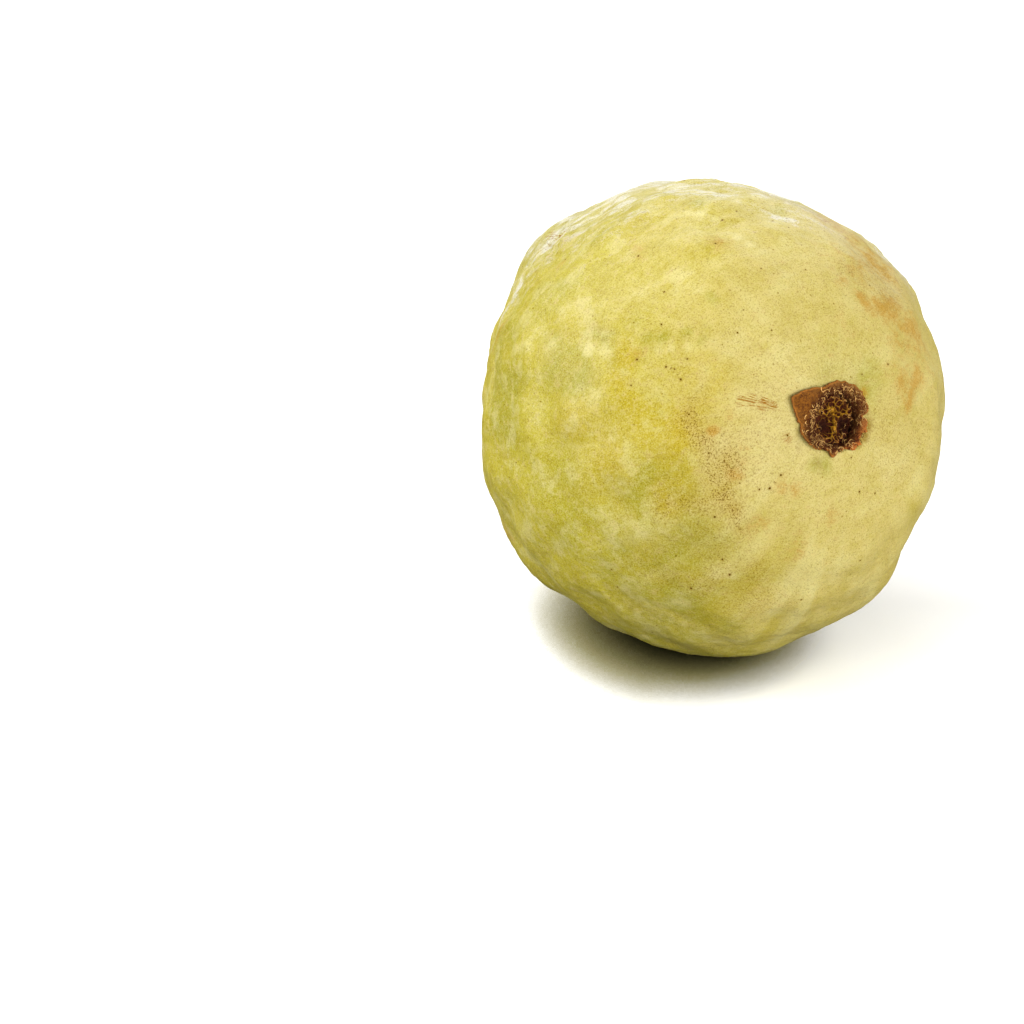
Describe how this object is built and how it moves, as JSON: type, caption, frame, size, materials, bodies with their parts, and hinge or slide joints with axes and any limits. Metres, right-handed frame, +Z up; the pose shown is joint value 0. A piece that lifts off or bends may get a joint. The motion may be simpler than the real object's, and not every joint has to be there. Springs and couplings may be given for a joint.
{
  "type": "guava",
  "caption": "Whole ripe apple guava resting on its side, lumpy yellow-green skin, dried leathery calyx at one end and a woody stem scar at the other.",
  "frame": {"origin": "centre of the base of the fruit's box, on the surface that it rests on", "axes": "+Z up; the fruit's axis lies in the YZ plane, with the calyx at the -Y end tipped up 21.4 degrees and the stem scar at the +Y end; +X to the right as the calyx end is faced"},
  "size_m": [0.0904, 0.0926, 0.0908],
  "materials": {
    "skin": "waxy satin, pale yellow-green with fine dark pores",
    "calyx": "dry, matt, red-brown",
    "floral_disc": "dry, matt, dark brown with paler fibres",
    "stem": "dry, matt, fibrous"
  },
  "bodies": {
    "root": {"fruit": "skin", "calyx": "calyx", "floral_disc": "floral_disc", "stem": "stem"}
  },
  "joints": []
}
